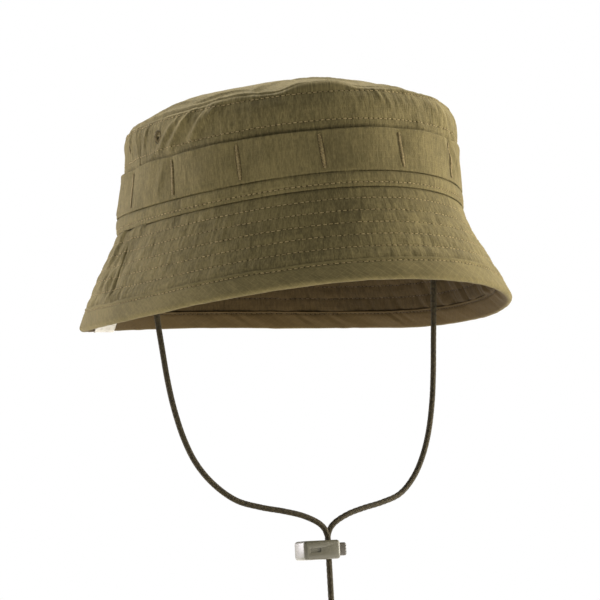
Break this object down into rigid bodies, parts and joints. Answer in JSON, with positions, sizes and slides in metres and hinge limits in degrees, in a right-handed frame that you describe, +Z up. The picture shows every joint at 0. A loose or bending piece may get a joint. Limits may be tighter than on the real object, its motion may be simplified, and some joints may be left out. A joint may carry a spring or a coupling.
{
  "type": "boonie hat",
  "caption": "Short-brim soft field hat with foliage loops, vent eyelets, stitched sloping brim, and a chin cord with a sprung sliding cord lock.",
  "frame": {"origin": "centre of the head opening, in the plane of the seam between crown and brim", "axes": "+Z up out of the crown, -Y out of the front of the hat, +X to the wearer's left"},
  "size_m": [0.2134, 0.2604, 0.3274],
  "materials": {
    "shell_fabric": "olive ripstop cotton blend, matte, fine vertical crinkle",
    "under_brim_fabric": "darker olive brown cotton, matte",
    "inner_fabric": "plain woven lining tape, matte",
    "thread": "khaki polyester thread, slight sheen",
    "label_fabric": "pale satin tape with plain blotches and no lettering",
    "cord_braid": "dark olive braided cord",
    "lock_plastic": "olive grey moulded plastic, fine texture",
    "spring_steel": "bright wire"
  },
  "bodies": {
    "hat": {"crown_top": "shell_fabric", "crown_side_front": "shell_fabric", "crown_side_rear": "shell_fabric", "loop_band": "shell_fabric", "seam_band": "shell_fabric", "brim_upper_front": "shell_fabric", "brim_upper_rear": "shell_fabric", "brim_binding": "shell_fabric", "cord_tab_right": "shell_fabric", "cord_tab_left": "shell_fabric", "brim_lower_front": "under_brim_fabric", "brim_lower_rear": "under_brim_fabric", "eyelet_facing": "inner_fabric", "sweatband": "inner_fabric", "brim_stiffener": "inner_fabric", "bartack_01": "thread", "bartack_02": "thread", "bartack_03": "thread", "bartack_04": "thread", "bartack_05": "thread", "bartack_06": "thread", "bartack_07": "thread", "bartack_08": "thread", "bartack_09": "thread", "bartack_10": "thread", "bartack_11": "thread", "bartack_12": "thread", "bartack_13": "thread", "bartack_14": "thread", "eyelet_left_front": "thread", "eyelet_left_rear": "thread", "eyelet_right_front": "thread", "eyelet_right_rear": "thread", "care_label": "label_fabric", "chin_cord_right": "cord_braid", "chin_cord_left": "cord_braid", "cord_knot": "cord_braid", "cord_tip_right": "cord_braid", "cord_tip_left": "cord_braid"},
    "cord_lock": {"lock_body": "lock_plastic", "lock_spring": "spring_steel"},
    "lock_button": {"lock_button": "lock_plastic"}
  },
  "joints": [
    {"name": "lock_slide", "type": "slide", "parent": "hat", "child": "cord_lock", "axis": [0, 0, -1], "range_m": [0, 0.048]},
    {"name": "button_press", "type": "slide", "parent": "cord_lock", "child": "lock_button", "axis": [-1, 0, 0], "range_m": [0, 0.003], "stiffness_N_per_m": 500, "springref_m": -0.004, "deforming": ["lock_spring"]}
  ]
}
